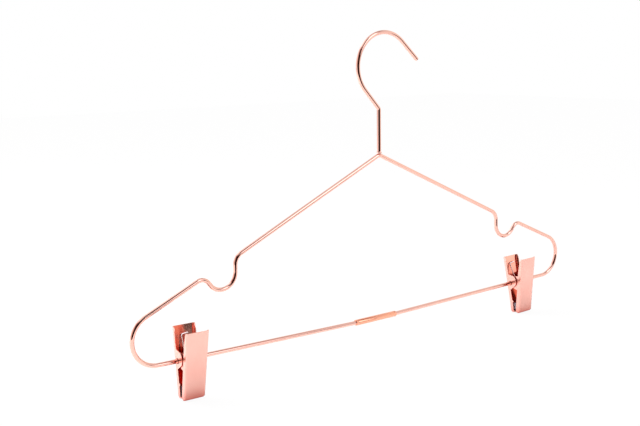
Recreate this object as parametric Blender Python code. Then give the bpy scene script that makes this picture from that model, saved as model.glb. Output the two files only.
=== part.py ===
"""A wire shirt hanger with two sliding trouser clips.

The frame is one bent wire whose ends meet inside a sleeve on the bar. The hook is a second wire, welded to
the frame's peak. Each clip is two folded sheet halves that turn on the bar, with a pad in each jaw and a
torsion spring wound round the bar. Units are metres. X runs along the bar, Y points away from the viewer and
Z is up. The origin is the point inside the top of the hook that rests on a rail.
"""

import math

import bmesh
import bpy
from mathutils import Matrix, Vector

# Frame wire. Corners are where the straight runs would meet, before rounding: across from the middle, and
# above the outer corners of the bar.
WIRE_DIAMETER = 0.0032
PEAK_HEIGHT = 0.1260
PEAK_BEND = 0.0050
ARM_END_ACROSS = 0.1302
ARM_END_HEIGHT = 0.0648
ARM_END_BEND = 0.0092
NOTCH_ACROSS = 0.1314
NOTCH_HEIGHT = 0.0227
NOTCH_BEND = 0.0111
NOTCH_LIP_ACROSS = 0.1554
NOTCH_LIP_HEIGHT = 0.0543
NOTCH_LIP_BEND = 0.0070
BAR_CORNER_ACROSS = 0.2057
SHOULDER_OVERHANG = 0.0080
SHOULDER_HEIGHT = 0.0283
SHOULDER_BEND = 0.0179
BAR_CORNER_BEND = 0.0184
BAR_SAG = 0.0036

# Hook wire, of the same wire. Its arc is about a centre beside the stem, and its straight tip is cut plain.
# The stem's rise is from the frame's peak, and the centre's rise from the stem's top.
STEM_RISE = 0.0353
STEM_BEND = 0.0025
HOOK_RADIUS = 0.0256
HOOK_CENTRE_ACROSS = 0.0058
HOOK_CENTRE_RISE = 0.0317
HOOK_ARC_END = math.radians(47.3)
HOOK_TIP_RUN = 0.0208
WELD_RISE = 0.0012
WELD_WALL = 0.0006
WELD_GAP = 0.0003

# Sleeve that joins the frame wire's two ends.
SLEEVE_LENGTH = 0.0405
SLEEVE_OFFSET = -0.0045
SLEEVE_WALL = 0.0004
SLEEVE_GAP = 0.0003
SLEEVE_CHAMFER = 0.0002
WIRE_END_GAP = 0.0010
SLEEVE_RUN_OUT = 0.0010

# Clips. Insets are from the bar's corners, and heights from its axis with the clip upright.
LEFT_CLIP_INSET = 0.0357
RIGHT_CLIP_INSET = 0.0474
LEFT_CLIP_LEAN = math.radians(1.1)
RIGHT_CLIP_LEAN = math.radians(-3.5)
JAW_TILT = math.radians(8.0)
SHEET = 0.0007
HANDLE_HEIGHT = 0.0230
FOOT_DROP = 0.0265
FOOT_DEPTH = 0.0087
TOP_WIDTH = 0.0168
FOOT_WIDTH = 0.0155
FOLD_RADIUS = 0.0012
SIDE_FOLD_RADIUS = 0.0010
REAR_FLANGE = 0.0030
FRONT_FLANGE = 0.0038
TOP_ROUND_START = 0.0013
REAR_TOP_ROUND = 0.0050
FRONT_TOP_ROUND = 0.0140
JOGGLE_RUN = 0.0010
STEP_OVERLAP = 0.0002
NEST_GAP = 0.0003
PIVOT_GAP = 0.0004
TOOTH_DROP = 0.0170
TOOTH_HEIGHT = 0.0025
TOOTH_REACH = 0.0012
LIP_NOTCH = 0.0007

# Lugs that carry the clip on the bar: how far each foot reaches down and up its flange from the bar's axis, and
# the round head's radius and place, above the axis and ahead of it toward the tip of the lug.
EAR_FOOT = (-0.0059, 0.0080)
EAR_RADIUS = 0.0053
EAR_AHEAD = 0.0018
EAR_RISE = 0.0016
ARM_FOOT = (-0.0048, 0.0088)
ARM_RADIUS = 0.0050
ARM_BEHIND = 0.0024
ARM_RISE = 0.0014

# Jaw pads.
PAD_HEIGHT = 0.0054
PAD_RISE = 0.0015
PAD_GAP = 0.0003
PAD_SIDE_GAP = 0.0010
JAW_GAP = 0.0003

# Torsion spring.
SPRING_WIRE = 0.0009
SPRING_GAP = 0.0003
SPRING_TURNS = 3
SPRING_PITCH = 0.00136
SPRING_LEG = 0.0173
SPRING_BEND = 0.0014
SPRING_FOOT = 0.0052
SPRING_SPLAY = 0.0002
SPRING_FOOT_RISE = 0.0006

# How fine the round shapes are, and how far a cutter runs past what it cuts.
BEND_STEP = math.radians(12.0)
ARC_STEP = math.radians(9.0)
COIL_POINTS = 10
RING_SIDES = 20
HOLE_SIDES = 24
ROUND_STEPS = 6
FOLD_STEPS = 3
SHARP_ANGLE = math.radians(35.0)
OVERRUN = 0.0020

WIRE_RADIUS = WIRE_DIAMETER / 2
STEM_HEIGHT = PEAK_HEIGHT + STEM_RISE
HOOK_CENTRE_HEIGHT = STEM_HEIGHT + HOOK_CENTRE_RISE
SEAT = Vector((HOOK_CENTRE_ACROSS, 0, HOOK_CENTRE_HEIGHT + HOOK_RADIUS - WIRE_RADIUS))
SLEEVE_ENDS = (SLEEVE_OFFSET - SLEEVE_LENGTH / 2, SLEEVE_OFFSET + SLEEVE_LENGTH / 2)
COIL_RADIUS = WIRE_RADIUS + SPRING_GAP + SPRING_WIRE / 2
REAR_SETBACK = COIL_RADIUS + SPRING_WIRE / 2 + SPRING_GAP + SHEET
DEPTH_AT_BAR = FOOT_DEPTH + 2 * math.tan(JAW_TILT) * FOOT_DROP
FRONT_SETBACK = DEPTH_AT_BAR * math.cos(JAW_TILT) - REAR_SETBACK
MIDDLE = REAR_SETBACK / math.cos(JAW_TILT) - DEPTH_AT_BAR / 2


def clear_scene():
    for item in list(bpy.data.objects):
        bpy.data.objects.remove(item, do_unlink=True)


def material(name, colour, roughness, metallic):
    made = bpy.data.materials.new(name)
    made.use_nodes = True
    shader = made.node_tree.nodes["Principled BSDF"]
    shader.inputs["Base Color"].default_value = (*colour, 1.0)
    shader.inputs["Roughness"].default_value = roughness
    shader.inputs["Metallic"].default_value = metallic
    return made


def link(name, data, finish, parent=None):
    item = bpy.data.objects.new(name, data)
    bpy.context.scene.collection.objects.link(item)
    if finish:
        data.materials.append(finish)
    if parent:
        item.parent = parent
    return item


def hide_tool(item):
    item.hide_render = True
    item.display_type = "WIRE"


def rounded(corners, bends, step):
    """The line through the corners, each turned with its own bend radius."""
    line = [Vector(corners[0])]
    for before, corner, after, bend in zip(corners, corners[1:], corners[2:], bends):
        corner = Vector(corner)
        inward = (Vector(before) - corner).normalized()
        outward = (Vector(after) - corner).normalized()
        if bend == 0:
            line.append(corner)
            continue
        half = inward.angle(outward) / 2
        middle = corner + (inward + outward).normalized() * bend / math.sin(half)
        start = corner + inward * bend / math.tan(half) - middle
        end = corner + outward * bend / math.tan(half) - middle
        turn = start.angle(end)
        count = max(2, math.ceil(turn / step))
        for index in range(count + 1):
            spoke = start.normalized().slerp(end.normalized(), index / count)
            line.append(middle + bend * spoke)
    line.append(Vector(corners[-1]))
    return line


def tube(name, line, radius, resolution, finish, parent=None):
    curve = bpy.data.curves.new(name, "CURVE")
    curve.dimensions = "3D"
    curve.bevel_depth = radius
    curve.bevel_resolution = resolution
    curve.use_fill_caps = True
    spline = curve.splines.new("POLY")
    spline.points.add(len(line) - 1)
    for point, place in zip(spline.points, line):
        point.co = (*place, 1.0)
    spline.use_smooth = True
    return link(name, curve, finish, parent)


def ring(name, outline, sides, finish):
    """A closed ring turned about X, from an outline of (along, radius) points."""
    mesh = bmesh.new()
    loops = []
    for index in range(sides):
        angle = math.tau * index / sides
        spoke = Vector((0, math.cos(angle), math.sin(angle)))
        loops.append([mesh.verts.new(Vector((along, 0, 0)) + spoke * out) for along, out in outline])
    for first, second in zip(loops, loops[1:] + loops[:1]):
        for index in range(len(outline)):
            after = (index + 1) % len(outline)
            mesh.faces.new((first[index], first[after], second[after], second[index]))
    bmesh.ops.recalc_face_normals(mesh, faces=mesh.faces)
    data = bpy.data.meshes.new(name)
    mesh.to_mesh(data)
    mesh.free()
    data.shade_smooth()
    data.set_sharp_from_angle(angle=SHARP_ANGLE)
    return link(name, data, finish)


def on_hanger(across, height):
    return Vector((across, 0, height)) - SEAT


def frame_line():
    left, right = SLEEVE_ENDS
    half = [
        (ARM_END_ACROSS, ARM_END_HEIGHT, ARM_END_BEND),
        (NOTCH_ACROSS, NOTCH_HEIGHT, NOTCH_BEND),
        (NOTCH_LIP_ACROSS, NOTCH_LIP_HEIGHT, NOTCH_LIP_BEND),
        (BAR_CORNER_ACROSS + SHOULDER_OVERHANG, SHOULDER_HEIGHT, SHOULDER_BEND),
        (BAR_CORNER_ACROSS, 0, BAR_CORNER_BEND),
    ]
    rows = [(SLEEVE_OFFSET - WIRE_END_GAP / 2, -BAR_SAG, 0), (left - SLEEVE_RUN_OUT, -BAR_SAG, 0)]
    rows += [(-across, height, bend) for across, height, bend in reversed(half)]
    rows += [(0, PEAK_HEIGHT, PEAK_BEND)] + half
    rows += [(right + SLEEVE_RUN_OUT, -BAR_SAG, 0), (SLEEVE_OFFSET + WIRE_END_GAP / 2, -BAR_SAG, 0)]
    corners = [on_hanger(across, height) for across, height, _ in rows]
    return rounded(corners, [bend for _, _, bend in rows[1:-1]], BEND_STEP)


def peak_top():
    """The height of the frame wire's upper surface at its peak."""
    slope = math.atan2(PEAK_HEIGHT - ARM_END_HEIGHT, ARM_END_ACROSS)
    return PEAK_HEIGHT - PEAK_BEND * (1 / math.cos(slope) - 1) + WIRE_RADIUS


def hook_line():
    centre = Vector((HOOK_CENTRE_ACROSS, HOOK_CENTRE_HEIGHT))
    stem_top = Vector((0, STEM_HEIGHT))
    spoke = stem_top - centre
    start = math.atan2(spoke.y, spoke.x) - math.acos(HOOK_RADIUS / spoke.length) + math.tau
    count = math.ceil((start - HOOK_ARC_END) / ARC_STEP)
    arc = []
    for index in range(count + 1):
        angle = start + (HOOK_ARC_END - start) * index / count
        arc.append(centre + HOOK_RADIUS * Vector((math.cos(angle), math.sin(angle))))
    tip = arc[-1] + HOOK_TIP_RUN * Vector((math.sin(HOOK_ARC_END), -math.cos(HOOK_ARC_END)))
    foot = (0, peak_top() + WELD_GAP)
    corners = [on_hanger(*point) for point in (foot, stem_top, arc[0])]
    return rounded(corners, [STEM_BEND], BEND_STEP) + [on_hanger(*point) for point in arc[1:] + [tip]]


def weld_bead(finish):
    """The ring of weld that stands round the hook wire's foot, with a rounded outer side."""
    inner = WIRE_RADIUS + WELD_GAP
    outline = [(0, inner)]
    for index in range(FOLD_STEPS + 1):
        turn = math.pi / 2 * index / FOLD_STEPS
        outline.append((WELD_RISE * math.sin(turn), inner + WELD_WALL * math.cos(turn)))
    bead = ring("peak_weld", outline, RING_SIDES, finish)
    bead.location = on_hanger(0, peak_top() + WELD_GAP)
    bead.rotation_euler = (0, -math.pi / 2, 0)


def bar_sleeve(finish):
    inner = WIRE_RADIUS + SLEEVE_GAP
    outer = inner + SLEEVE_WALL
    half = SLEEVE_LENGTH / 2
    outline = [
        (-half, inner),
        (-half, outer - SLEEVE_CHAMFER),
        (SLEEVE_CHAMFER - half, outer),
        (half - SLEEVE_CHAMFER, outer),
        (half, outer - SLEEVE_CHAMFER),
        (half, inner),
    ]
    sleeve = ring("bar_sleeve", outline, RING_SIDES, finish)
    sleeve.location = on_hanger(SLEEVE_OFFSET, -BAR_SAG)


def clip_frame(side, across, lean):
    """An empty on the bar's axis at the clip's middle, with X along the bar and the clip's lean about it."""
    near = Vector((math.copysign(BAR_CORNER_ACROSS, across), 0, 0))
    end = SLEEVE_ENDS[0] - SLEEVE_RUN_OUT if across < 0 else SLEEVE_ENDS[1] + SLEEVE_RUN_OUT
    far = Vector((end, 0, -BAR_SAG))
    run = (far - near) if across < 0 else (near - far)
    height = near.z + (far.z - near.z) * (across - near.x) / (far.x - near.x)
    slope = math.atan2(run.z, run.x)
    holder = link(side + "_clip_axis", None, None)
    holder.location = on_hanger(across, height)
    holder.rotation_euler = (Matrix.Rotation(-slope, 3, "Y") @ Matrix.Rotation(lean, 3, "X")).to_euler()
    return holder


class Half:
    """One folded half of a clip. Points are given as across, depth in from its outer face, and run up it."""

    def __init__(self, facing, setback, flange, top_round):
        self.facing = facing
        self.setback = setback
        self.flange = flange
        self.top_round = top_round
        self.top = self.run_at(HANDLE_HEIGHT)
        self.foot = self.run_at(-FOOT_DROP)

    def run_at(self, height):
        """How far up the plate a height lies on its outer face, from the point nearest the bar."""
        return (height + self.setback * math.sin(JAW_TILT)) / math.cos(JAW_TILT)

    def place(self, across, depth, run):
        outward = (self.setback - depth) * math.cos(JAW_TILT) + run * math.sin(JAW_TILT)
        up = (depth - self.setback) * math.sin(JAW_TILT) + run * math.cos(JAW_TILT)
        return Vector((across, self.facing * outward, up))

    def half_width(self, run):
        share = (run - self.foot) / (self.top - self.foot)
        return (FOOT_WIDTH + (TOP_WIDTH - FOOT_WIDTH) * share) / 2

    def reach(self, run):
        """The depth from the plate, square to it, to the jaws' middle, less half the gap between the jaws."""
        outward = self.setback * math.cos(JAW_TILT) + run * math.sin(JAW_TILT)
        return (outward - self.facing * MIDDLE - JAW_GAP / 2) / math.cos(JAW_TILT)

    def arc(self, middle, radii, start, end, count):
        turns = [start + (end - start) * index / count for index in range(count + 1)]
        return [(middle[0] + radii[0] * math.cos(a), middle[1] + radii[1] * math.sin(a)) for a in turns]

    def lug(self, depth, foot, middle, radius):
        """The outline of a lug round the bar: straight sides from its foot on the flange to its round head."""
        ends = []
        for run, side in ((foot[0], 1), (foot[1], -1)):
            spoke = Vector((depth, run)) - Vector(middle)
            ends.append(math.atan2(spoke.y, spoke.x) + side * math.acos(radius / spoke.length))
        round_end = self.arc(middle, (radius, radius), ends[0], ends[1], 2 * ROUND_STEPS)
        return [(depth, foot[0])] + round_end + [(depth, foot[1])]

    def tooth(self):
        """The small point on a flange's edge that keeps the pad in."""
        middle = self.run_at(-TOOTH_DROP)
        tip = (self.flange + TOOTH_REACH, middle)
        return [(self.flange, middle - TOOTH_HEIGHT / 2), tip, (self.flange, middle + TOOTH_HEIGHT / 2)]

    def outline(self, edge):
        """The half's side view as (depth, run) points: outer face, lip, what the flange's edge has, rounded top."""
        fold = (FOLD_RADIUS, self.foot + FOLD_RADIUS)
        points = [(0, self.top)]
        points += self.arc(fold, (FOLD_RADIUS, FOLD_RADIUS), math.pi, 1.5 * math.pi, ROUND_STEPS)
        lip_end = self.reach(self.foot)
        points += [(lip_end, self.foot), (lip_end, self.foot + SHEET + LIP_NOTCH / 4)]
        points += [(self.flange, self.foot + SHEET + LIP_NOTCH)] + edge
        middle = (TOP_ROUND_START, self.top - self.top_round)
        radii = (self.flange - TOP_ROUND_START, self.top_round)
        return points + self.arc(middle, radii, 0, math.pi / 2, ROUND_STEPS)

    def prism(self, name, outline, edges, parent, finish=None, folded=False):
        """A solid from a side outline, between two distances across; without a finish it is a tool."""
        mesh = bmesh.new()
        rings = []
        for edge in edges:
            rings.append([mesh.verts.new(self.place(edge(run), depth, run)) for depth, run in outline])
        mesh.faces.new(rings[0])
        mesh.faces.new(rings[1])
        for index in range(len(outline)):
            after = (index + 1) % len(outline)
            mesh.faces.new((rings[0][index], rings[0][after], rings[1][after], rings[1][index]))
        if folded:
            self.round_folds(mesh, rings)
        bmesh.ops.recalc_face_normals(mesh, faces=mesh.faces)
        data = bpy.data.meshes.new(name)
        mesh.to_mesh(data)
        mesh.free()
        item = link(name, data, finish, parent)
        if not finish:
            hide_tool(item)
        return item

    def round_folds(self, mesh, rings):
        """Rounds the two long folds between the plate and its flanges."""
        last = ROUND_STEPS + 1
        chosen = []
        for verts in rings:
            for first, second in zip(verts[:last], verts[1 : last + 1]):
                chosen.append(mesh.edges.get((first, second)))
        radius = SIDE_FOLD_RADIUS
        bmesh.ops.bevel(mesh, geom=chosen, offset=radius, segments=FOLD_STEPS, affect="EDGES", profile=0.5)

    def cavity(self, name, parent):
        """The space between the flanges and above the lip."""
        far = self.setback + EAR_AHEAD + EAR_RADIUS + OVERRUN
        low = self.foot + SHEET
        high = self.top + OVERRUN
        outline = [(SHEET, low), (far, low), (far, high), (SHEET, high)]
        edges = (lambda run: SHEET - self.half_width(run), lambda run: self.half_width(run) - SHEET)
        return self.prism(name, outline, edges, parent)


def combine(item, tool, operation):
    modifier = item.modifiers.new(tool.name, "BOOLEAN")
    modifier.operation = operation
    modifier.solver = "EXACT"
    modifier.object = tool


def bar_drill(name, parent):
    mesh = bmesh.new()
    reach = TOP_WIDTH + OVERRUN
    radius = WIRE_RADIUS + PIVOT_GAP
    turned = Matrix.Rotation(math.pi / 2, 4, "Y")
    bmesh.ops.create_cone(
        mesh, cap_ends=True, segments=HOLE_SIDES, radius1=radius, radius2=radius, depth=reach, matrix=turned
    )
    data = bpy.data.meshes.new(name)
    mesh.to_mesh(data)
    mesh.free()
    item = link(name, data, None, parent)
    hide_tool(item)
    return item


def shade(item):
    item.data.shade_smooth()
    item.data.set_sharp_from_angle(angle=SHARP_ANGLE)


def rear_plate(side, half, holder, drill, finish):
    """The half behind the bar, whose flanges rise into two round ears that turn on it."""
    edges = (lambda run: -half.half_width(run), half.half_width)
    head = (half.setback + EAR_AHEAD, EAR_RISE)
    ears = half.lug(half.flange, EAR_FOOT, head, EAR_RADIUS)
    outline = half.outline(half.tooth() + ears)
    plate = half.prism(side + "_rear_plate", outline, edges, holder, finish, folded=True)
    combine(plate, half.cavity(side + "_rear_cavity", holder), "DIFFERENCE")
    combine(plate, drill, "DIFFERENCE")
    shade(plate)


def front_plate(side, half, holder, drill, finish):
    """The half before the bar, whose arms step in to turn on the bar between the rear half's ears."""
    edges = (lambda run: -half.half_width(run), half.half_width)
    plate = half.prism(side + "_front_plate", half.outline([]), edges, holder, finish, folded=True)
    combine(plate, half.cavity(side + "_front_cavity", holder), "DIFFERENCE")
    outer = half.half_width(0) - SHEET - NEST_GAP
    inner = outer - SHEET
    root = half.flange - JOGGLE_RUN
    head = (half.setback - ARM_BEHIND, ARM_RISE)
    arm = half.lug(root + JOGGLE_RUN / 2, ARM_FOOT, head, ARM_RADIUS)
    low, high = ARM_FOOT[0] - STEP_OVERLAP, ARM_FOOT[1] + STEP_OVERLAP
    far = half.flange - STEP_OVERLAP
    step = [(root, low), (far, low), (far, high), (root, high)]
    for sign, word in ((-1, "start"), (1, "end")):
        arm_edges = (lambda run, s=sign: s * inner, lambda run, s=sign: s * outer)
        wall = half.half_width
        start = inner + SHEET / 4
        step_edges = (lambda run, s=sign: s * start, lambda run, s=sign: s * (wall(run) - SHEET / 2))
        combine(plate, half.prism(f"{side}_{word}_step", step, step_edges, holder), "UNION")
        combine(plate, half.prism(f"{side}_{word}_arm", arm, arm_edges, holder), "UNION")
    combine(plate, drill, "DIFFERENCE")
    shade(plate)


def pad(name, half, holder, finish):
    """A soft block held between the lip and the teeth, with its gripping face along the jaws' middle."""
    back = SHEET + PAD_GAP
    low = half.foot + SHEET + PAD_RISE
    high = low + PAD_HEIGHT
    outline = [(back, low), (half.reach(low), low), (half.reach(high), high), (back, high)]
    inset = SHEET + PAD_SIDE_GAP
    edges = (lambda run: inset - half.half_width(run), lambda run: half.half_width(run) - inset)
    half.prism(name, outline, edges, holder, finish)


def leg(half, across, toward_middle):
    """The bent end of a spring leg inside a plate: its foot's free end, and where the leg meets the foot."""
    depth = SHEET + SPRING_GAP + SPRING_WIRE / 2
    free = half.place(across + toward_middle * SPRING_FOOT, depth, SPRING_LEG + SPRING_FOOT_RISE)
    return free, half.place(across, depth, SPRING_LEG)


def tangent_angle(point, turning):
    """The angle on the coil's circle, seen along the bar, from which a straight leg reaches a point."""
    bearing = math.atan2(point.z, point.y)
    return bearing + turning * math.acos(COIL_RADIUS / math.hypot(point.y, point.z))


def spring_line(rear, front):
    """One wire: the rear leg's foot, the leg, the coil round the bar, and the front leg and its foot."""
    start = tangent_angle(leg(rear, 0, 1)[1], 1)
    end = tangent_angle(leg(front, 0, 1)[1], -1)
    sweep = (end - start) % math.tau + math.tau * SPRING_TURNS
    half_length = SPRING_PITCH * sweep / math.tau / 2
    rear_free, rear_top = leg(rear, -half_length - SPRING_SPLAY, 1)
    front_free, front_top = leg(front, half_length + SPRING_SPLAY, -1)
    count = math.ceil(COIL_POINTS * sweep / math.tau)
    coil = []
    for index in range(count + 1):
        angle = start + sweep * index / count
        along = half_length * (2 * index / count - 1)
        coil.append(Vector((along, COIL_RADIUS * math.cos(angle), COIL_RADIUS * math.sin(angle))))
    head = rounded([rear_free, rear_top, coil[0]], [SPRING_BEND], 2 * BEND_STEP)
    tail = rounded([coil[-1], front_top, front_free], [SPRING_BEND], 2 * BEND_STEP)
    return head + coil[1:-1] + tail


def least_gap(line, radius):
    """The least space between stretches of one wire, measured on points set closely along it."""
    points = []
    for first, second in zip(line, line[1:]):
        count = max(1, math.ceil((second - first).length / (radius / 2)))
        points += [first.lerp(second, index / count) for index in range(count)]
    run = [0]
    for first, second in zip(points, points[1:]):
        run.append(run[-1] + (second - first).length)
    least = math.inf
    for index, first in enumerate(points):
        for other in range(index + 1, len(points)):
            if run[other] - run[index] > math.pi * COIL_RADIUS:
                least = min(least, (points[other] - first).length)
    return least - 2 * radius


def clip(side, across, lean, finishes):
    holder = clip_frame(side, across, lean)
    rear = Half(1, REAR_SETBACK, REAR_FLANGE, REAR_TOP_ROUND)
    front = Half(-1, FRONT_SETBACK, FRONT_FLANGE, FRONT_TOP_ROUND)
    drill = bar_drill(side + "_bar_drill", holder)
    rear_plate(side, rear, holder, drill, finishes["plating"])
    front_plate(side, front, holder, drill, finishes["plating"])
    pad(side + "_rear_pad", rear, holder, finishes["pad"])
    pad(side + "_front_pad", front, holder, finishes["pad"])
    line = spring_line(rear, front)
    tube(side + "_spring", line, SPRING_WIRE / 2, 1, finishes["spring"], holder)
    print(f"{side}_spring least gap to itself {least_gap(line, SPRING_WIRE / 2):.5f} m")


def build():
    clear_scene()
    finishes = {
        "plating": material("rose_gold_plating", (0.93, 0.56, 0.45), 0.12, 1.0),
        "sleeve": material("sleeve_plating", (0.88, 0.47, 0.30), 0.18, 1.0),
        "spring": material("spring_steel", (0.78, 0.78, 0.80), 0.20, 1.0),
        "pad": material("pad_plastic", (0.62, 0.58, 0.64), 0.45, 0.0),
    }
    tube("frame_wire", frame_line(), WIRE_RADIUS, 3, finishes["plating"])
    tube("hook_wire", hook_line(), WIRE_RADIUS, 3, finishes["plating"])
    weld_bead(finishes["plating"])
    bar_sleeve(finishes["sleeve"])
    clip("left", LEFT_CLIP_INSET - BAR_CORNER_ACROSS, LEFT_CLIP_LEAN, finishes)
    clip("right", BAR_CORNER_ACROSS - RIGHT_CLIP_INSET, RIGHT_CLIP_LEAN, finishes)


build()
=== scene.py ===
"""Looks of the wire shirt hanger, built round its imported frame. Units are metres, in the frame's own axes."""

import math

import bmesh
import bpy
from mathutils import Matrix, Vector

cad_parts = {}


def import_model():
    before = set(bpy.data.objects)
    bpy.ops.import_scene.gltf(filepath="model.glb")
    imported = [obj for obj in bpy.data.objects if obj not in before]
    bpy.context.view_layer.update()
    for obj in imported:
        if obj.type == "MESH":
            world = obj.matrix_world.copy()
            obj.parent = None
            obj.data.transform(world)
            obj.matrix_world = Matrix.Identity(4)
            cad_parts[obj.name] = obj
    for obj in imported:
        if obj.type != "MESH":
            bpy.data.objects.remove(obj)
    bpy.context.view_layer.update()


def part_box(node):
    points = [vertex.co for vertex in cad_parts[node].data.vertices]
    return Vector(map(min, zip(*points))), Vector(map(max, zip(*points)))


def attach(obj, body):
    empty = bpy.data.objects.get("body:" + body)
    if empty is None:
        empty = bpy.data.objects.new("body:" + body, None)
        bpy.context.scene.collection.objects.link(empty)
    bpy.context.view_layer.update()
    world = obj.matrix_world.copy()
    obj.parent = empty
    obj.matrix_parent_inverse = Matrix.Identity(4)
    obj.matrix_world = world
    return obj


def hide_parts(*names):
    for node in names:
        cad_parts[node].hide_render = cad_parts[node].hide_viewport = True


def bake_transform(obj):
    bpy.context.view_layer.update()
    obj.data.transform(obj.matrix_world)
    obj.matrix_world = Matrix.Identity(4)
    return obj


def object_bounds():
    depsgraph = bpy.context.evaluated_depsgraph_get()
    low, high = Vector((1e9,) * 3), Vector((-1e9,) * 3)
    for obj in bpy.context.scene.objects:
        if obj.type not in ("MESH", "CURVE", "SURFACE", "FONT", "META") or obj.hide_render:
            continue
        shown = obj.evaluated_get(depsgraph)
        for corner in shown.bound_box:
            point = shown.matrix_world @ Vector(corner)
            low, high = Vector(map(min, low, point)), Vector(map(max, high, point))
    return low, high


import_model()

# Frame wire: where its straight runs would meet, across from the middle and above the bar's corners.
WIRE_DIAMETER = 0.0032
PEAK_HEIGHT = 0.1260
PEAK_BEND = 0.0050
HALF_FRAME = (
    (0.1302, 0.0648, 0.0092),
    (0.1314, 0.0227, 0.0111),
    (0.1554, 0.0543, 0.0070),
    (0.2137, 0.0283, 0.0179),
    (0.2057, 0, 0.0184),
)
BAR_SAG = 0.0036

# Hook wire.
STEM_HEIGHT = 0.1613
STEM_BEND = 0.0025
HOOK_RADIUS = 0.0256
HOOK_CENTRE = (0.0058, 0.1930)
HOOK_ARC_END = math.radians(47.3)
HOOK_TIP_RUN = 0.0208

# Weld bead: how much taller than its solid the bead stands, since it runs out thin along the hook wire,
# and how far it reaches into the wire.
WELD_HEIGHT_SHARE = 1.25
WELD_SINK = 0.0003

# Sleeve on the bar, and how far each of the two wire ends in it stays from its middle.
WIRE_END_GAP = 0.0003
SLEEVE_WALL = 0.0004
SLEEVE_GAP = 0.0003
SLEEVE_RUN_OUT = 0.0010
SLEEVE_LIP = 0.0004
SLEEVE_BORE_SHARE = 1 / 3

# The sleeve's rolled end and the crimp beside it: how far along, as shares of the lip, and how far below the
# outer face, as shares of the wall.
SLEEVE_END_SHARES = ((0, 0.6), (0.3, 0.2), (1, 0), (4, 0), (5, 0.3), (6, 0))

# Clips.
CLIPS = {"left": (-0.1700, math.radians(1.1)), "right": (0.1583, math.radians(-3.5))}
JAW_TILT = math.radians(8.0)
SHEET = 0.0007
HANDLE_HEIGHT = 0.0230
FOOT_DROP = 0.0265
FOOT_DEPTH = 0.0087
TOP_WIDTH = 0.0168
FOOT_WIDTH = 0.0155
FOLD_RADIUS = 0.0012
SIDE_FOLD_RADIUS = 0.0010
INNER_FOLD_RADIUS = 0.0005
EDGE_ROUND = 0.00012
REAR_FLANGE = 0.0030
FRONT_FLANGE = 0.0038
TOP_ROUND_START = 0.0013
REAR_TOP_ROUND = 0.0050
FRONT_TOP_ROUND = 0.0140
JOGGLE_RUN = 0.0010
STEP_OVERLAP = 0.0002
NEST_GAP = 0.0003
PIVOT_GAP = 0.0004
TOOTH_DROP = 0.0170
TOOTH_HEIGHT = 0.0025
TOOTH_REACH = 0.0012
LIP_NOTCH = 0.0007

# The rise of the lip's tip, where in an arm's wall its step starts, and the round along the cavity's sides,
# which stays under its radius so that two rounds don't meet.
LIP_TIP_RISE = LIP_NOTCH / 4
STEP_START = SHEET / 4
INNER_FOLD_ROUND = INNER_FOLD_RADIUS * 0.95

# Lugs that carry the clip on the bar: how far each foot reaches down and up its flange from the bar's axis,
# and the round head's radius and place: above the axis, and ahead of it or behind it.
EAR_FOOT = (-0.0059, 0.0080)
EAR_RADIUS = 0.0053
EAR_AHEAD = 0.0018
EAR_RISE = 0.0016
ARM_FOOT = (-0.0048, 0.0088)
ARM_RADIUS = 0.0050
ARM_BEHIND = 0.0024
ARM_RISE = 0.0014

# Jaw pads.
PAD_HEIGHT = 0.0054
PAD_RISE = 0.0015
PAD_GAP = 0.0003
PAD_SIDE_GAP = 0.0010
JAW_GAP = 0.0003
PAD_RIBS = 5
PAD_RIB_DEPTH = 0.0004

# Torsion spring.
SPRING_WIRE = 0.0009
SPRING_GAP = 0.0003
SPRING_TURNS = 3
SPRING_PITCH = 0.00136
SPRING_LEG = 0.0173
SPRING_BEND = 0.0014
SPRING_FOOT = 0.0052
SPRING_SPLAY = 0.0002
SPRING_FOOT_RISE = 0.0006

# How fine the round shapes are.
BEND_STEP = math.radians(4.0)
SPRING_BEND_STEP = 2 * BEND_STEP
WIRE_RESOLUTION = 10
SPRING_RESOLUTION = 6
COIL_POINTS = 36
WELD_STEPS = 8
WELD_SIDES = 32
SLEEVE_SIDES = 40
HOLE_SIDES = 48
ROUND_STEPS = 12
FOLD_STEPS = ROUND_STEPS // 2
INNER_FOLD_STEPS = ROUND_STEPS // 3
FOLD_SEGMENTS = 6
EDGE_SEGMENTS = 2
RIB_STEPS = 4

# Wire ends: the share of the radius within which points are one, and the share that rounds the end's rim.
WIRE_WELD_SHARE = 1 / 100
WIRE_TIP_SHARE = 1 / 5
WIRE_TIP_SEGMENTS = 3

# Angles above which an edge is drawn sharp, and above which it is rounded.
WIRE_SHARP_ANGLE = math.radians(50.0)
TURNED_SHARP_ANGLE = math.radians(40.0)
SHEET_SHARP_ANGLE = math.radians(32.0)
EDGE_ROUND_ANGLE = math.radians(40.0)
LARGE_FACE_WEIGHT = 100

# A bevel profile that is round, and the angle of three quarters of a turn.
ROUND_PROFILE = 0.5
THREE_QUARTERS = 1.5 * math.pi

# How far the cutting tools reach past what they cut.
OVERRUN = 0.0020

# Camera: its place, heading, pitch and roll, with a lens that gives the photograph's perspective.
CAMERA_PLACE = (-0.43895, -0.52735, -0.01227)
CAMERA_YAW = 0.61986
CAMERA_PITCH = -0.17926
CAMERA_ROLL = -0.01762
CAMERA_LENS = 50.0
CAMERA_SENSOR = 36.0
CAMERA_NEAR = 0.01

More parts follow.
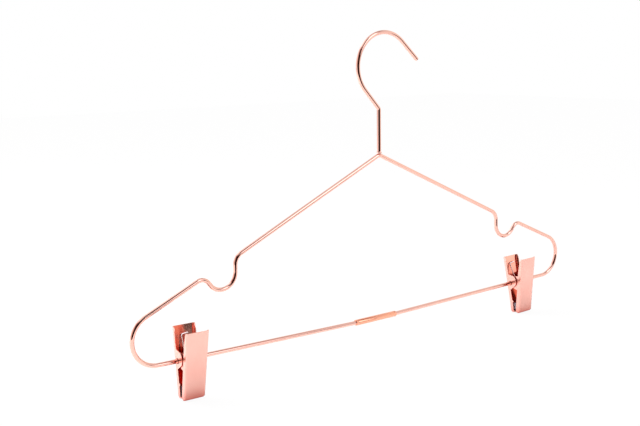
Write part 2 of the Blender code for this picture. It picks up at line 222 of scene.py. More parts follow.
# The studio round the hanger. Each panel has its heading, from straight before the bar toward the right end,
# and half its width, its rise and half its height, and the width of its soft edge, all in degrees, and then
# its colour.
STUDIO_WALL = (0.85, 0.85, 0.87)
WARM_WALL_LEFT = (-75, 45, 25, 25, 10, (0.65, 0.50, 0.45))
DARK_GAP_LEFT = (-80, 30, 40, 10, 20, (0.20, 0.08, 0.08))
DARK_ROOM = (-25, 41, 9, 32, 8, (0.04, 0.012, 0.008))
DARK_COLUMN = (-10, 14, 45, 35, 4, (0.02, 0.008, 0.005))
SOFT_BOX_RIGHT = (20, 14, 35, 25, 4, (2.2, 2.2, 2.3))
TABLE_EDGE = (6, 30, -12, 18, 4, (0.03, 0.012, 0.01))
BRIGHT_WALL_RIGHT = (110, 60, 0, 40, 15, (1.04, 1.04, 0.98))
DIM_TOP_RIGHT = (80, 30, 67, 12, 8, (0.40, 0.28, 0.25))
BRIGHT_WALL_BEHIND = (-135, 30, 10, 30, 10, (1.2, 1.2, 1.2))
SOFT_BOX_BEHIND = (-155, 30, 40, 15, 5, (2.2, 2.2, 2.3))
CEILING = (10, 25, 76, 9, 4, (0.65, 0.70, 0.75))
DARK_GAP_TOP = (10, 25, 63, 3, 3, (0.10, 0.04, 0.03))
BRIGHT_LOW_RIGHT = (50, 10, -2, 14, 8, (1.35, 1.30, 1.25))
STUDIO_PANELS = (
    BRIGHT_LOW_RIGHT,
    WARM_WALL_LEFT,
    DARK_ROOM,
    DARK_COLUMN,
    SOFT_BOX_RIGHT,
    SOFT_BOX_BEHIND,
    BRIGHT_WALL_RIGHT,
    DIM_TOP_RIGHT,
    TABLE_EDGE,
    DARK_GAP_TOP,
    CEILING,
    DARK_GAP_LEFT,
    BRIGHT_WALL_BEHIND,
)
FLOOR_FRONT = -0.31
FLOOR_BACK = 3.0
FLOOR_SIDE = 3.0
FLOOR_GAP = 0.0003
FLOOR_WHITENESS = (("Is Camera Ray", 0.945), ("Is Glossy Ray", 0.3), ("Is Transmission Ray", 0.9))

# Lamps: place, the point faced, size, and power in watts. They don't show in reflections.
LAMPS = {
    "overhead": ((-0.2, -0.2, 1.2), (0, 0, -0.1), (1.6, 1.6), 3.0),
    "key": ((-0.9, 0.9, 1.0), (0, 0, -0.2), (0.9, 0.9), 12.0),
    "back_fill": ((-0.3, 0.5, 0.2), (-0.2, 0.2, -0.24), (0.5, 0.5), 3.0),
}

# Platings: the two colours between which each drifts, its roughness, and how fine and how deep its drawing
# marks are.
WIRE_PLATING = ((0.89, 0.50, 0.415), (0.92, 0.54, 0.45), (0.02, 0.05), 700.0, 0.000002)
SHEET_PLATING = ((0.96, 0.50, 0.42), (0.98, 0.54, 0.46), (0.20, 0.26), 700.0, 0.000006)
# The inside plating is a darker, redder copy of the sheet's plating for the channel's inner faces: painted
# shade.
INSIDE_SHADED_PLATING = ((0.93, 0.44, 0.34), (0.96, 0.48, 0.38), (0.14, 0.18), 700.0, 0.000004)
SLEEVE_PLATING = ((0.93, 0.40, 0.26), (0.96, 0.44, 0.30), (0.14, 0.20), 700.0, 0.000006)
SPRING_METAL = ((0.80, 0.80, 0.82), (0.92, 0.92, 0.94), (0.22, 0.32), 900.0, 0.000004)
DRIFT_SCALE = 60.0
WEAR_SCALE = 900.0
WEAR_DETAIL = 4.0
MARK_DETAIL = 3.0
MARK_STRETCH = (0.15, 1, 1)
MARK_STRENGTH = 0.15

# The share of a noise at which a material shows its first colour, and the share at which it shows its second.
COLOUR_STOPS = (0.3, 0.7)

# Painted shade on the clips' plating, outside and inside: the deep dark colour painted where ambient occlusion
# finds the sheet hemmed in, as in the jaws, and the open shares between which it turns. Then how far it looks
# round itself to tell, and with how many rays.
SHEET_PAINTED_SHADE = ((0.62, 0.08, 0.05), (0.20, 0.85))
INSIDE_PAINTED_SHADE = ((0.64, 0.10, 0.05), (0.20, 1.0))
PAINTED_SHADE_DEPTH = 0.017
PAINTED_SHADE_RAYS = 12

# Jaw pads' plastic and the floor's paper.
PAD_COLOURS = ((0.55, 0.50, 0.57), (0.72, 0.68, 0.74))
PAD_CLOUD_SCALE = 500.0
PAD_ROUGHNESS = (0.3, 0.45)
PAD_CLEARNESS = 0.35
PAD_IOR = 1.5
PAPER_COLOURS = ((0.93, 0.93, 0.93), (0.96, 0.96, 0.96))
PAPER_GRAIN_SCALE = 300.0
PAPER_ROUGHNESS = 0.9

# The Mix node's sockets for two colours and their mixture.
FIRST_COLOUR = 6
SECOND_COLOUR = 7
MIXED_COLOUR = 2

WIRE_RADIUS = WIRE_DIAMETER / 2
SEAT = Vector((HOOK_CENTRE[0], 0, HOOK_CENTRE[1] + HOOK_RADIUS - WIRE_RADIUS))
COIL_RADIUS = WIRE_RADIUS + SPRING_GAP + SPRING_WIRE / 2
REAR_SETBACK = COIL_RADIUS + SPRING_WIRE / 2 + SPRING_GAP + SHEET
DEPTH_AT_BAR = FOOT_DEPTH + 2 * math.tan(JAW_TILT) * FOOT_DROP
FRONT_SETBACK = DEPTH_AT_BAR * math.cos(JAW_TILT) - REAR_SETBACK
MIDDLE = REAR_SETBACK / math.cos(JAW_TILT) - DEPTH_AT_BAR / 2
sleeve_low, sleeve_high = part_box("bar_sleeve")
SLEEVE_ENDS = (sleeve_low.x + SEAT.x, sleeve_high.x + SEAT.x)
FLOOR_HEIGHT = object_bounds()[0][2]


# Materials


class Nodes:
    """A short way to write one material's or world's nodes."""

    def __init__(self, tree):
        self.tree = tree

    def add(self, kind, **settings):
        node = self.tree.nodes.new("ShaderNode" + kind)
        for name, value in settings.items():
            setattr(node, name, value)
        return node

    def join(self, source, target, output=0, socket=0):
        self.tree.links.new(source.outputs[output], target.inputs[socket])

    def noise(self, where, scale, detail=2.0, stretch=(1, 1, 1)):
        mapping = self.add("Mapping")
        mapping.inputs["Scale"].default_value = stretch
        self.join(where, mapping, "Object", "Vector")
        node = self.add("TexNoise")
        node.inputs["Scale"].default_value = scale
        node.inputs["Detail"].default_value = detail
        self.join(mapping, node, 0, "Vector")
        return node

    def ramp(self, source, colours):
        node = self.add("ValToRGB")
        for element, at, colour in zip(node.color_ramp.elements, COLOUR_STOPS, colours):
            element.position = at
            element.color = (*colour, 1.0)
        self.join(source, node, 0, "Fac")
        return node

    def spread(self, source, low, high):
        node = self.add("MapRange")
        node.inputs["To Min"].default_value = low
        node.inputs["To Max"].default_value = high
        self.join(source, node, 0, "Value")
        return node

    def bump(self, source, strength, distance):
        node = self.add("Bump")
        node.inputs["Strength"].default_value = strength
        node.inputs["Distance"].default_value = distance
        self.join(source, node, 0, "Height")
        return node

    def nearness(self, angle, middle, half, soft):
        """One inside a half angle round the middle, falling to none over the soft edge."""
        turned = self.add("Math", operation="SUBTRACT")
        turned.inputs[1].default_value = math.radians(middle)
        self.join(angle, turned)
        wrapped = self.add("Math", operation="WRAP")
        wrapped.inputs[1].default_value = -math.pi
        wrapped.inputs[2].default_value = math.pi
        self.join(turned, wrapped)
        away = self.add("Math", operation="ABSOLUTE")
        self.join(wrapped, away)
        share = self.add("MapRange", interpolation_type="SMOOTHSTEP")
        share.inputs["From Min"].default_value = math.radians(half + soft / 2)
        share.inputs["From Max"].default_value = math.radians(half - soft / 2)
        self.join(away, share, 0, "Value")
        return share

    def panel(self, room, heading, rise, row):
        """The room's colour with one soft-edged panel of its own colour set into it."""
        middle, half_width, height, half_height, soft, colour = row
        share = self.add("Math", operation="MULTIPLY")
        self.join(self.nearness(heading, middle, half_width, soft), share, "Result", 0)
        self.join(self.nearness(rise, height, half_height, soft), share, "Result", 1)
        mixed = self.add("Mix", data_type="RGBA")
        mixed.inputs[SECOND_COLOUR].default_value = (*colour, 1)
        self.join(share, mixed)
        self.tree.links.new(room, mixed.inputs[FIRST_COLOUR])
        return mixed.outputs[MIXED_COLOUR]


def new_material(name):
    made = bpy.data.materials.new(name)
    made.use_nodes = True
    nodes = Nodes(made.node_tree)
    shader = made.node_tree.nodes["Principled BSDF"]
    return made, nodes, shader


def plated_metal(name, dark, light, rough, mark_scale, mark_depth):
    """Polished plating whose colour and gloss drift a little, with fine drawing marks."""
    made, nodes, shader = new_material(name)
    shader.inputs["Metallic"].default_value = 1.0
    where = nodes.add("TexCoord")
    drift = nodes.noise(where, DRIFT_SCALE)
    nodes.join(nodes.ramp(drift, (dark, light)), shader, "Color", "Base Color")
    wear = nodes.noise(where, WEAR_SCALE, WEAR_DETAIL)
    nodes.join(nodes.spread(wear, *rough), shader, "Result", "Roughness")
    marks = nodes.noise(where, mark_scale, MARK_DETAIL, MARK_STRETCH)
    nodes.join(nodes.bump(marks, MARK_STRENGTH, mark_depth), shader, "Normal", "Normal")
    return made


def sheet_with_painted_shade(name, plating, shade_colour, turn):
    """The clips' plating with painted shade: its colour turns deep and dark where ambient occlusion finds that
    it sees only itself, as inside the jaws.
    """
    made = plated_metal(name, *plating)
    nodes = Nodes(made.node_tree)
    shader = made.node_tree.nodes["Principled BSDF"]
    open_colour = shader.inputs["Base Color"].links[0].from_socket
    # Painted shade: the occlusion share darkens the colour in the jaws and other hollows.
    openness = nodes.add("AmbientOcclusion", samples=PAINTED_SHADE_RAYS)
    openness.inputs["Distance"].default_value = PAINTED_SHADE_DEPTH
    share = nodes.add("MapRange", interpolation_type="SMOOTHSTEP")
    share.inputs["From Min"].default_value = turn[0]
    share.inputs["From Max"].default_value = turn[1]
    nodes.join(openness, share, "AO", "Value")
    mixed = nodes.add("Mix", data_type="RGBA")
    nodes.join(share, mixed)
    mixed.inputs[FIRST_COLOUR].default_value = (*shade_colour, 1)
    nodes.tree.links.new(open_colour, mixed.inputs[SECOND_COLOUR])
    nodes.join(mixed, shader, MIXED_COLOUR, "Base Color")
    return made


def pad_plastic():
    made, nodes, shader = new_material("pad_plastic")
    where = nodes.add("TexCoord")
    cloud = nodes.noise(where, PAD_CLOUD_SCALE)
    nodes.join(nodes.ramp(cloud, PAD_COLOURS), shader, "Color", "Base Color")
    nodes.join(nodes.spread(cloud, *PAD_ROUGHNESS), shader, "Result", "Roughness")
    shader.inputs["Transmission Weight"].default_value = PAD_CLEARNESS
    shader.inputs["IOR"].default_value = PAD_IOR
    return made


# Shapes


def link(name, data, finish=None):
    item = bpy.data.objects.new(name, data)
    bpy.context.scene.collection.objects.link(item)
    if finish:
        data.materials.append(finish)
    return item


def rounded(corners, bends, step):
    """The line through the corners, each turned with its own bend radius."""
    line = [Vector(corners[0])]
    for before, corner, after, bend in zip(corners, corners[1:], corners[2:], bends):
        corner = Vector(corner)
        inward = (Vector(before) - corner).normalized()
        outward = (Vector(after) - corner).normalized()
        if bend == 0:
            line.append(corner)
            continue
        half = inward.angle(outward) / 2
        middle = corner + (inward + outward).normalized() * bend / math.sin(half)
        start = (corner + inward * bend / math.tan(half) - middle).normalized()
        end = (corner + outward * bend / math.tan(half) - middle).normalized()
        count = max(2, math.ceil(start.angle(end) / step))
        for index in range(count + 1):
            line.append(middle + bend * start.slerp(end, index / count))
    line.append(Vector(corners[-1]))
    return line


def round_edges(mesh, edges, offset, segments):
    bmesh.ops.bevel(mesh, geom=edges, offset=offset, segments=segments, profile=ROUND_PROFILE, affect="EDGES")


def tube(name, line, radius, resolution, finish):
    """A smooth round wire along a line, as a mesh."""
    curve = bpy.data.curves.new(name, "CURVE")
    curve.dimensions = "3D"
    curve.bevel_depth = radius
    curve.bevel_resolution = resolution
    curve.use_fill_caps = True
    spline = curve.splines.new("POLY")
    spline.points.add(len(line) - 1)
    for point, place in zip(spline.points, line):
        point.co = (*place, 1.0)
    drawn = link(name + "_curve", curve)
    graph = bpy.context.evaluated_depsgraph_get()
    data = bpy.data.meshes.new_from_object(drawn.evaluated_get(graph))
    bpy.data.objects.remove(drawn)
    mesh = bmesh.new()
    mesh.from_mesh(data)
    bmesh.ops.remove_doubles(mesh, verts=mesh.verts, dist=radius * WIRE_WELD_SHARE)
    caps = [face for face in mesh.faces if len(face.verts) > 4]
    rims = [edge for face in caps for edge in face.edges]
    round_edges(mesh, rims, radius * WIRE_TIP_SHARE, WIRE_TIP_SEGMENTS)
    bmesh.ops.recalc_face_normals(mesh, faces=mesh.faces)
    mesh.to_mesh(data)
    mesh.free()
    data.name = name
    data.shade_smooth()
    data.set_sharp_from_angle(angle=WIRE_SHARP_ANGLE)
    return link(name, data, finish)


def turned(name, outline, sides, finish):
    """A ring turned about X from a closed outline of (along, radius) points."""
    mesh = bmesh.new()
    loops = []
    for index in range(sides):
        angle = math.tau * index / sides
        spoke = Vector((0, math.cos(angle), math.sin(angle)))
        loops.append([mesh.verts.new(Vector((along, 0, 0)) + spoke * out) for along, out in outline])
    for first, second in zip(loops, loops[1:] + loops[:1]):
        for index in range(len(outline)):
            after = (index + 1) % len(outline)
            mesh.faces.new((first[index], first[after], second[after], second[index]))
    bmesh.ops.recalc_face_normals(mesh, faces=mesh.faces)
    data = bpy.data.meshes.new(name)
    mesh.to_mesh(data)
    mesh.free()
    data.shade_smooth()
    data.set_sharp_from_angle(angle=TURNED_SHARP_ANGLE)
    return link(name, data, finish)


def on_hanger(across, height):
    return Vector((across, 0, height)) - SEAT


def frame_line():
    left, right = SLEEVE_ENDS
    middle = (left + right) / 2
    rows = [(middle - WIRE_END_GAP, -BAR_SAG, 0), (left - SLEEVE_RUN_OUT, -BAR_SAG, 0)]
    rows += [(-across, height, bend) for across, height, bend in reversed(HALF_FRAME)]
    rows += [(0, PEAK_HEIGHT, PEAK_BEND), *HALF_FRAME]
    rows += [(right + SLEEVE_RUN_OUT, -BAR_SAG, 0), (middle + WIRE_END_GAP, -BAR_SAG, 0)]
    corners = [on_hanger(across, height) for across, height, _ in rows]
    return rounded(corners, [bend for _, _, bend in rows[1:-1]], BEND_STEP)


def hook_line():
    centre = Vector(HOOK_CENTRE)
    stem_top = Vector((0, STEM_HEIGHT))
    spoke = stem_top - centre
    start = math.atan2(spoke.y, spoke.x) - math.acos(HOOK_RADIUS / spoke.length) + math.tau
    count = math.ceil((start - HOOK_ARC_END) / BEND_STEP)
    arc = []
    for index in range(count + 1):
        angle = start + (HOOK_ARC_END - start) * index / count
        arc.append(centre + HOOK_RADIUS * Vector((math.cos(angle), math.sin(angle))))
    tip = arc[-1] + HOOK_TIP_RUN * Vector((math.sin(HOOK_ARC_END), -math.cos(HOOK_ARC_END)))
    foot = on_hanger(0, 0)
    foot.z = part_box("hook_wire")[0].z
    corners = [foot, on_hanger(*stem_top), on_hanger(*arc[0])]
    return rounded(corners, [STEM_BEND], BEND_STEP) + [on_hanger(*point) for point in arc[1:] + [tip]]


def weld_bead(finish):
    """The bead of weld between the hook wire's foot and the frame wire's peak."""
    low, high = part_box("peak_weld")
    height = (high.z - low.z) * WELD_HEIGHT_SHARE
    spread = (high.x - low.x) / 2 - WIRE_RADIUS
    sunk = WIRE_RADIUS - WELD_SINK
    outline = [(0, sunk)]
    for index in range(WELD_STEPS + 1):
        share = index / WELD_STEPS
        outline.append((height * share, WIRE_RADIUS + spread * (1 - math.sin(share * math.pi / 2))))
    outline.append((height, sunk))
    bead = turned("weld_bead", outline, WELD_SIDES, finish)
    bead.rotation_euler = (0, -math.pi / 2, 0)
    bead.location = ((low.x + high.x) / 2, 0, low.z)
    return bead


def bar_sleeve(finish):
    """The thin tube over the wire's two ends, with its ends rolled in and a shallow crimp beside each."""
    inner = WIRE_RADIUS + SLEEVE_GAP * SLEEVE_BORE_SHARE
    outer = (sleeve_high.z - sleeve_low.z) / 2
    half = (sleeve_high.x - sleeve_low.x) / 2
    rolled = [(0, inner)]
    rolled += [(SLEEVE_LIP * along, outer - SLEEVE_WALL * deep) for along, deep in SLEEVE_END_SHARES]
    outline = [(along - half, out) for along, out in rolled]
    outline += [(half - along, out) for along, out in reversed(rolled)]
    sleeve = turned("sleeve_tube", outline, SLEEVE_SIDES, finish)
    sleeve.location = (sleeve_low + sleeve_high) / 2
    return sleeve


def clip_frame(across, lean):
    """The matrix of a clip's own axes: X along the bar, with the clip's lean about it."""
    near = Vector((math.copysign(HALF_FRAME[-1][0], across), 0, 0))
    end = SLEEVE_ENDS[0] - SLEEVE_RUN_OUT if across < 0 else SLEEVE_ENDS[1] + SLEEVE_RUN_OUT
    far = Vector((end, 0, -BAR_SAG))
    run = (far - near) if across < 0 else (near - far)
    height = near.z + (far.z - near.z) * (across - near.x) / (far.x - near.x)
    turn = Matrix.Rotation(-math.atan2(run.z, run.x), 4, "Y") @ Matrix.Rotation(lean, 4, "X")
    return Matrix.Translation(on_hanger(across, height)) @ turn


class Half:
    """One folded half of a clip. Points are given as across, depth in from its outer face, and run up it."""

    def __init__(self, facing, setback, flange, top_round):
        self.facing = facing
        self.setback = setback
        self.flange = flange
        self.top_round = top_round
        self.top = self.run_at(HANDLE_HEIGHT)
        self.foot = self.run_at(-FOOT_DROP)

    def run_at(self, height):
        return (height + self.setback * math.sin(JAW_TILT)) / math.cos(JAW_TILT)

    def place(self, across, depth, run):
        outward = (self.setback - depth) * math.cos(JAW_TILT) + run * math.sin(JAW_TILT)
        up = (depth - self.setback) * math.sin(JAW_TILT) + run * math.cos(JAW_TILT)
        return Vector((across, self.facing * outward, up))

    def half_width(self, run):
        share = (run - self.foot) / (self.top - self.foot)
        return (FOOT_WIDTH + (TOP_WIDTH - FOOT_WIDTH) * share) / 2

    def reach(self, run):
        """The depth at which a line square to the plate meets the jaws' middle, less half the jaw gap."""
        outward = self.setback * math.cos(JAW_TILT) + run * math.sin(JAW_TILT)
        return (outward - self.facing * MIDDLE - JAW_GAP / 2) / math.cos(JAW_TILT)

    def arc(self, middle, radii, start, end, count):
        turns = [start + (end - start) * index / count for index in range(count + 1)]
        return [(middle[0] + radii[0] * math.cos(a), middle[1] + radii[1] * math.sin(a)) for a in turns]

    def lug(self, depth, foot, middle, radius):
        """The outline of a lug round the bar: straight sides from its foot to its round head."""
        ends = []
        for run, side in ((foot[0], 1), (foot[1], -1)):
            spoke = Vector((depth, run)) - Vector(middle)
            ends.append(math.atan2(spoke.y, spoke.x) + side * math.acos(radius / spoke.length))
        round_end = self.arc(middle, (radius, radius), ends[0], ends[1], 2 * ROUND_STEPS)
        return [(depth, foot[0])] + round_end + [(depth, foot[1])]

    def tooth(self):
        """The small point on a flange's edge that keeps the pad in."""
        middle = self.run_at(-TOOTH_DROP)
        tip = (self.flange + TOOTH_REACH, middle)
        return [(self.flange, middle - TOOTH_HEIGHT / 2), tip, (self.flange, middle + TOOTH_HEIGHT / 2)]

    def outline(self, edge):
        """The half's side view as (depth, run) points: outer face, lip, the flange's edge and rounded top."""
        fold = (FOLD_RADIUS, self.foot + FOLD_RADIUS)
        points = [(0, self.top)]
        points += self.arc(fold, (FOLD_RADIUS, FOLD_RADIUS), math.pi, THREE_QUARTERS, FOLD_STEPS)
        lip_end = self.reach(self.foot)
        points += [(lip_end, self.foot), (lip_end, self.foot + SHEET + LIP_TIP_RISE)]
        points += [(self.flange, self.foot + SHEET + LIP_NOTCH)] + edge
        middle = (TOP_ROUND_START, self.top - self.top_round)
        radii = (self.flange - TOP_ROUND_START, self.top_round)
        return points + self.arc(middle, radii, 0, math.pi / 2, ROUND_STEPS)

    def prism(self, name, outline, edges, finish, fold_radius=0, fold_edges=0):
        """A solid from a side outline, between two distances across that may follow the plate's taper.

        As many of the outline's first edges as fold_edges says are rounded on both sides.
        """
        mesh = bmesh.new()
        rings = []
        for edge in edges:
            rings.append([mesh.verts.new(self.place(edge(run), depth, run)) for depth, run in outline])
        mesh.faces.new(rings[0])
        mesh.faces.new(rings[1])
        for index in range(len(outline)):
            after = (index + 1) % len(outline)
            mesh.faces.new((rings[0][index], rings[0][after], rings[1][after], rings[1][index]))
        if fold_radius:
            chosen = []
            for verts in rings:
                pairs = zip(verts[:fold_edges], verts[1 : fold_edges + 1])
                chosen += [mesh.edges.get(pair) for pair in pairs]
            round_edges(mesh, chosen, fold_radius, FOLD_SEGMENTS)
        bmesh.ops.recalc_face_normals(mesh, faces=mesh.faces)
        data = bpy.data.meshes.new(name)
        mesh.to_mesh(data)
        mesh.free()
        return link(name, data, finish)

    def cavity(self, name, finish):
        """The space between the flanges and above the lip."""
        far = self.setback + EAR_AHEAD + EAR_RADIUS + OVERRUN
        low = self.foot + SHEET
        high = self.top + OVERRUN
        fold = (SHEET + INNER_FOLD_RADIUS, low + INNER_FOLD_RADIUS)
        radii = (INNER_FOLD_RADIUS, INNER_FOLD_RADIUS)
        corner = self.arc(fold, radii, math.pi, THREE_QUARTERS, INNER_FOLD_STEPS)
        outline = [(SHEET, high)] + corner + [(far, low), (far, high)]
        edges = (lambda run: SHEET - self.half_width(run), lambda run: self.half_width(run) - SHEET)
        return self.prism(name, outline, edges, finish, INNER_FOLD_ROUND, len(corner))

    def shell(self, name, outline, finish):
        """The half's solid over its whole width, its sides rounded along the outer face and the lip."""
        edges = (lambda run: -self.half_width(run), self.half_width)
        return self.prism(name, outline, edges, finish, SIDE_FOLD_RADIUS, FOLD_STEPS + 2)


def bar_drill(name, finish):
    mesh = bmesh.new()
    reach = TOP_WIDTH + OVERRUN
    radius = WIRE_RADIUS + PIVOT_GAP
    turn = Matrix.Rotation(math.pi / 2, 4, "Y")
    bmesh.ops.create_cone(
        mesh, cap_ends=True, segments=HOLE_SIDES, radius1=radius, radius2=radius, depth=reach, matrix=turn
    )
    data = bpy.data.meshes.new(name)
    mesh.to_mesh(data)
    mesh.free()
    return link(name, data, finish)


def keep_modifiers(item):
    """Leaves one mesh that holds what the modifiers make."""
    bpy.context.view_layer.update()
    graph = bpy.context.evaluated_depsgraph_get()
    final = item.evaluated_get(graph)
    data = bpy.data.meshes.new_from_object(final, preserve_all_data_layers=True, depsgraph=graph)
    item.modifiers.clear()
    item.data = data


def carve(item, tools):
    """Applies the Boolean tools, rounds the cut edges, and leaves one mesh that shades flat faces flat."""
    for tool, operation in tools:
        modifier = item.modifiers.new(tool.name, "BOOLEAN")
        modifier.operation = operation
        modifier.solver = "EXACT"
        # Each cutting tool hands its material to the faces it cuts, so the cavity's darker inside plating,
        # painted shade, lands on the channel's inner faces.
        modifier.material_mode = "TRANSFER"
        modifier.object = tool
    bevel = item.modifiers.new("edges", "BEVEL")
    bevel.width = EDGE_ROUND
    bevel.segments = EDGE_SEGMENTS
    bevel.limit_method = "ANGLE"
    bevel.angle_limit = EDGE_ROUND_ANGLE
    keep_modifiers(item)
    for tool, _ in tools:
        bpy.data.objects.remove(tool)
    item.data.shade_smooth()
    item.data.set_sharp_from_angle(angle=SHEET_SHARP_ANGLE)
    flat = item.modifiers.new("flat", "WEIGHTED_NORMAL")
    flat.weight = LARGE_FACE_WEIGHT
    flat.keep_sharp = True
    keep_modifiers(item)


def rear_plate(side, half, finish, inside):
    """The rear half, whose flanges carry a tooth and a round ear each."""
    head = (half.setback + EAR_AHEAD, EAR_RISE)
    ears = half.lug(half.flange, EAR_FOOT, head, EAR_RADIUS)
    plate = half.shell(side + "_rear_shell", half.outline(half.tooth() + ears), finish)
    cavity = half.cavity(side + "_rear_cavity", inside)
    drill = bar_drill(side + "_rear_drill", finish)
    carve(plate, [(cavity, "DIFFERENCE"), (drill, "DIFFERENCE")])
    return plate


def front_plate(side, half, finish, inside):
    """The front half, whose flanges step inward to two round arms that nest between the rear half's ears."""
    plate = half.shell(side + "_front_shell", half.outline([]), finish)
    tools = [(half.cavity(side + "_front_cavity", inside), "DIFFERENCE")]
    outer = half.half_width(0) - SHEET - NEST_GAP
    inner = outer - SHEET
    root = half.flange - JOGGLE_RUN
    head = (half.setback - ARM_BEHIND, ARM_RISE)
    arm = half.lug(root + JOGGLE_RUN / 2, ARM_FOOT, head, ARM_RADIUS)
    low, high = ARM_FOOT[0] - STEP_OVERLAP, ARM_FOOT[1] + STEP_OVERLAP
    far = half.flange - STEP_OVERLAP
    step = [(root, low), (far, low), (far, high), (root, high)]
    for sign, word in ((-1, "left"), (1, "right")):
        arm_edges = (lambda run, s=sign: s * inner, lambda run, s=sign: s * outer)
        wall = half.half_width
        start = inner + STEP_START
        step_edges = (lambda run, s=sign: s * start, lambda run, s=sign: s * (wall(run) - SHEET / 2))
        tools.append((half.prism(f"{side}_{word}_step", step, step_edges, finish), "UNION"))
        tools.append((half.prism(f"{side}_{word}_arm", arm, arm_edges, finish), "UNION"))
    tools.append((bar_drill(side + "_front_drill", finish), "DIFFERENCE"))
    carve(plate, tools)
    return plate


def pad(name, half, finish):
    """A soft block between lip and teeth, with ribs across its gripping face."""
    back = SHEET + PAD_GAP
    low = half.foot + SHEET + PAD_RISE
    high = low + PAD_HEIGHT
    outline = [(back, low), (half.reach(low), low)]
    steps = RIB_STEPS * PAD_RIBS
    for index in range(1, steps):
        share = index / steps
        run = low + PAD_HEIGHT * share
        hollow = PAD_RIB_DEPTH * (1 - math.cos(share * math.tau * PAD_RIBS)) / 2
        outline.append((half.reach(run) - hollow, run))
    outline += [(half.reach(high), high), (back, high)]
    inset = SHEET + PAD_SIDE_GAP
    edges = (lambda run: inset - half.half_width(run), lambda run: half.half_width(run) - inset)
    block = half.prism(name, outline, edges, finish)
    carve(block, [])
    return block


def leg(half, across, toward_middle):
    """The free end of a spring leg's bent foot, and the bend where the leg turns into it."""
    depth = SHEET + SPRING_GAP + SPRING_WIRE / 2
    free = half.place(across + toward_middle * SPRING_FOOT, depth, SPRING_LEG + SPRING_FOOT_RISE)
    return free, half.place(across, depth, SPRING_LEG)


def tangent_angle(point, turning):
    """The coil's angle at which a straight leg from the point leaves it."""
    bearing = math.atan2(point.z, point.y)
    return bearing + turning * math.acos(COIL_RADIUS / math.hypot(point.y, point.z))


def spring_line(rear, front):
    """One wire: the rear leg's foot, the leg, the coil round the bar, and the front leg and its foot."""
    start = tangent_angle(leg(rear, 0, 1)[1], 1)
    end = tangent_angle(leg(front, 0, 1)[1], -1)
    sweep = (end - start) % math.tau + math.tau * SPRING_TURNS
    half_length = SPRING_PITCH * sweep / math.tau / 2
    rear_free, rear_top = leg(rear, -half_length - SPRING_SPLAY, 1)
    front_free, front_top = leg(front, half_length + SPRING_SPLAY, -1)
    count = math.ceil(COIL_POINTS * sweep / math.tau)
    coil = []
    for index in range(count + 1):
        angle = start + sweep * index / count
        along = half_length * (2 * index / count - 1)
        coil.append(Vector((along, COIL_RADIUS * math.cos(angle), COIL_RADIUS * math.sin(angle))))
    head = rounded([rear_free, rear_top, coil[0]], [SPRING_BEND], SPRING_BEND_STEP)
    tail = rounded([coil[-1], front_top, front_free], [SPRING_BEND], SPRING_BEND_STEP)
    return head + coil[1:-1] + tail


def clip(side, finishes):
    across, lean = CLIPS[side]
    axes = clip_frame(across, lean)
    rear = Half(1, REAR_SETBACK, REAR_FLANGE, REAR_TOP_ROUND)
    front = Half(-1, FRONT_SETBACK, FRONT_FLANGE, FRONT_TOP_ROUND)
    # The inside finish is the darker painted-shade copy of the plating, for the channel's inner faces.
    sheet, inside = finishes["clip"], finishes["inside"]
    rows = (
        (rear_plate(side, rear, sheet, inside), "rear_plate", "rear_jaw", "clip_plating"),
        (front_plate(side, front, sheet, inside), "front_plate", "front_jaw", "clip_plating"),
        (pad(side + "_rear_grip", rear, finishes["pad"]), "rear_pad", "rear_jaw", "pad"),
        (pad(side + "_front_grip", front, finishes["pad"]), "front_pad", "front_jaw", "pad"),
    )
    for piece, node, body, slot in rows:
        piece.data.transform(axes)
        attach(piece, f"{side}_{body}")
        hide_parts(f"{side}_{node}")
    line = [axes @ point for point in spring_line(rear, front)]
    spring = tube(side + "_torsion_spring", line, SPRING_WIRE / 2, SPRING_RESOLUTION, finishes["spring"])
    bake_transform(spring)
    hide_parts(side + "_spring")


# Stage, light and camera


def floor():
    """A pale paper floor at the clips' feet, nearly white to the camera and still shaded by the hanger."""
    mesh = bmesh.new()
    corners = (
        (-FLOOR_SIDE, FLOOR_FRONT),
        (FLOOR_SIDE, FLOOR_FRONT),
        (FLOOR_SIDE, FLOOR_BACK),
        (-FLOOR_SIDE, FLOOR_BACK),
    )
    mesh.faces.new([mesh.verts.new((*corner, FLOOR_HEIGHT - FLOOR_GAP)) for corner in corners])
    data = bpy.data.meshes.new("floor")
    mesh.to_mesh(data)
    mesh.free()
    made, nodes, paper = new_material("floor_paper")
    paper.inputs["Roughness"].default_value = PAPER_ROUGHNESS
    where = nodes.add("TexCoord")
    grain = nodes.noise(where, PAPER_GRAIN_SCALE)
    nodes.join(nodes.ramp(grain, PAPER_COLOURS), paper, "Color", "Base Color")
    glow = nodes.add("Emission")
    seen = nodes.add("LightPath")
    share = None
    for kind, part in FLOOR_WHITENESS:
        glowing = nodes.add("Math", operation="MULTIPLY_ADD")
        glowing.inputs[1].default_value = part
        glowing.inputs[2].default_value = 0
        nodes.join(seen, glowing, kind)
        if share:
            nodes.join(share, glowing, 0, 2)
        share = glowing
    mix = nodes.add("MixShader")
    nodes.join(share, mix, 0, "Fac")
    nodes.join(paper, mix, 0, 1)
    nodes.join(glow, mix, 0, 2)
    nodes.join(mix, made.node_tree.nodes["Material Output"])
    item = link("floor", data, made)


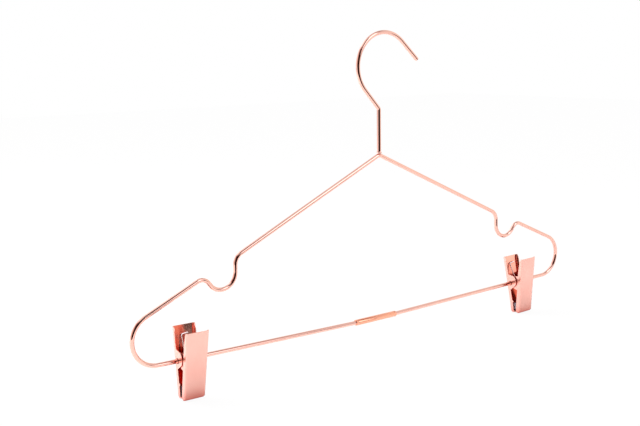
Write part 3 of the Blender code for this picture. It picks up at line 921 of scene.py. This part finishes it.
def world():
    """A pale studio with soft bright and dark panels that the metal mirrors. The camera itself sees white."""
    made = bpy.data.worlds.new("studio")
    bpy.context.scene.world = made
    made.use_nodes = True
    nodes = Nodes(made.node_tree)
    where = nodes.add("TexCoord")
    parts = nodes.add("SeparateXYZ")
    nodes.join(where, parts, "Generated")
    ahead = nodes.add("Math", operation="MULTIPLY")
    ahead.inputs[1].default_value = -1.0
    nodes.join(parts, ahead, "Y")
    heading = nodes.add("Math", operation="ARCTAN2")
    nodes.join(parts, heading, "X", 0)
    nodes.join(ahead, heading, 0, 1)
    rise = nodes.add("Math", operation="ARCSINE")
    nodes.join(parts, rise, "Z")
    wall = nodes.add("RGB")
    wall.outputs[0].default_value = (*STUDIO_WALL, 1)
    room = wall.outputs[0]
    for panel in STUDIO_PANELS:
        room = nodes.panel(room, heading, rise, panel)
    back = made.node_tree.nodes["Background"]
    nodes.tree.links.new(room, back.inputs["Color"])
    white = nodes.add("Background")
    white.inputs["Color"].default_value = (1, 1, 1, 1)
    seen = nodes.add("LightPath")
    mix = nodes.add("MixShader")
    nodes.join(seen, mix, "Is Camera Ray", "Fac")
    nodes.join(back, mix, 0, 1)
    nodes.join(white, mix, 0, 2)
    nodes.join(mix, made.node_tree.nodes["World Output"])


def lamp(name, place, target, size, energy):
    data = bpy.data.lights.new(name, "AREA")
    data.shape = "RECTANGLE"
    data.size, data.size_y = size
    data.energy = energy
    item = bpy.data.objects.new(name, data)
    bpy.context.scene.collection.objects.link(item)
    item.location = place
    item.visible_glossy = False
    item.rotation_euler = (Vector(target) - Vector(place)).to_track_quat("-Z", "Y").to_euler()


def camera():
    ahead = Vector((
        math.sin(CAMERA_YAW) * math.cos(CAMERA_PITCH),
        math.cos(CAMERA_YAW) * math.cos(CAMERA_PITCH),
        math.sin(CAMERA_PITCH),
    ))
    level = Vector((math.cos(CAMERA_YAW), -math.sin(CAMERA_YAW), 0))
    above = level.cross(ahead)
    right = level * math.cos(CAMERA_ROLL) + above * math.sin(CAMERA_ROLL)
    up = above * math.cos(CAMERA_ROLL) - level * math.sin(CAMERA_ROLL)
    data = bpy.data.cameras.new("camera")
    data.lens = CAMERA_LENS
    data.sensor_width = CAMERA_SENSOR
    data.clip_start = CAMERA_NEAR
    item = bpy.data.objects.new("camera", data)
    bpy.context.scene.collection.objects.link(item)
    turn = Matrix((right, up, -ahead)).transposed().to_4x4()
    item.matrix_world = Matrix.Translation(CAMERA_PLACE) @ turn
    bpy.context.scene.camera = item


def hanger_wires(finishes):
    wire = finishes["wire"]
    frame_wire = tube("frame_bent_wire", frame_line(), WIRE_RADIUS, WIRE_RESOLUTION, wire)
    hook_wire = tube("hook_bent_wire", hook_line(), WIRE_RADIUS, WIRE_RESOLUTION, wire)
    rows = (
        (frame_wire, "frame_wire", "plating"),
        (hook_wire, "hook_wire", "plating"),
        (weld_bead(wire), "peak_weld", "plating"),
        (bar_sleeve(finishes["sleeve"]), "bar_sleeve", "sleeve"),
    )
    for piece, node, slot in rows:
        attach(piece, "hanger")
        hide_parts(node)


def main():
    finishes = {
        "wire": plated_metal("rose_gold_wire", *WIRE_PLATING),
        # The clips' platings carry painted shade, dark where ambient occlusion finds the sheet hemmed in.
        "clip": sheet_with_painted_shade("rose_gold_sheet", SHEET_PLATING, *SHEET_PAINTED_SHADE),
        # The inside finish is painted shade: the darker copy of the clips' plating for the channel's inner
        # faces.
        "inside": sheet_with_painted_shade("sheet_inside_painted_shade", INSIDE_SHADED_PLATING, *INSIDE_PAINTED_SHADE),
        "sleeve": plated_metal("copper_sleeve", *SLEEVE_PLATING),
        "spring": plated_metal("spring_wire", *SPRING_METAL),
        "pad": pad_plastic(),
    }
    hanger_wires(finishes)
    clip("left", finishes)
    clip("right", finishes)
    floor()
    world()
    camera()
    for name, (place, target, size, energy) in LAMPS.items():
        lamp(name, place, target, size, energy)
    bpy.context.scene.view_settings.view_transform = "Standard"


main()
